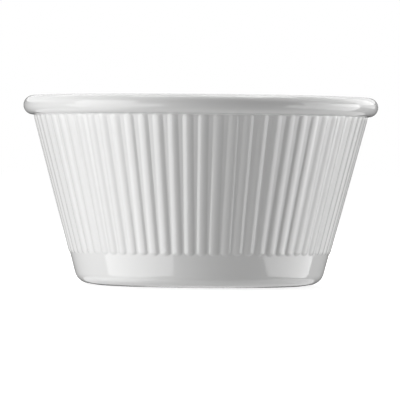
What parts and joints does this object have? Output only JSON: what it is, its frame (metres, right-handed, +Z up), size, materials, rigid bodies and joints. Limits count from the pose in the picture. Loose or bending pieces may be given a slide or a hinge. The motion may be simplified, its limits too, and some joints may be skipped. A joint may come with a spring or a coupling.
{
  "type": "sauce dish",
  "caption": "Round tapered dish for sauce or dip, with a full-round rim, fine upright ribs round the wall, a plain foot band and a recessed base.",
  "frame": {"origin": "on the table under the middle of the dish", "axes": "+Z up along the axis of the dish; -Y is the side that the picture shows"},
  "size_m": [0.0824, 0.0824, 0.0438],
  "materials": {
    "gloss_white": "glossy white moulded melamine, smooth all over"
  },
  "bodies": {
    "root": {"dish": "gloss_white"}
  },
  "joints": []
}
